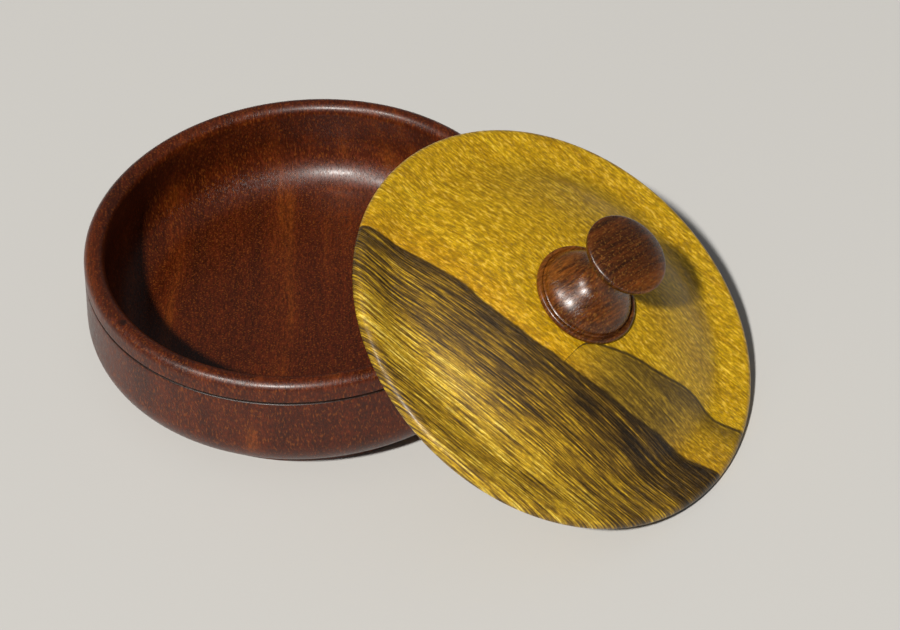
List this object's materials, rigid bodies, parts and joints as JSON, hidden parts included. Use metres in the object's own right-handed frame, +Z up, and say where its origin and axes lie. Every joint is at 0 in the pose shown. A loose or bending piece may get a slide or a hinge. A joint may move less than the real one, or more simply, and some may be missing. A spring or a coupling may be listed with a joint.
{
  "type": "lidded bowl",
  "caption": "Turned wooden bowl with a rounded rim and a loose domed lid with a mushroom knob, the lid leaning on the rim.",
  "frame": {"origin": "middle of the bowl's foot, on the table", "axes": "+Z up along the bowl's axis, +X towards the side that the lid leans on, which is the whole object's longest extent"},
  "size_m": [0.234, 0.1534, 0.0872],
  "materials": {
    "bowl_wood": "oiled and waxed, satin",
    "lid_wood": "oiled and waxed, satin",
    "knob_wood": "oiled and waxed, satin"
  },
  "bodies": {
    "bowl": {"bowl": "bowl_wood"},
    "lid": {"lid": "lid_wood", "knob": "knob_wood"}
  },
  "joints": [
    {"name": "lid_lift", "type": "slide", "parent": "bowl", "child": "lid", "axis": [0, 0, 1], "range_m": [0, 0.12]}
  ]
}
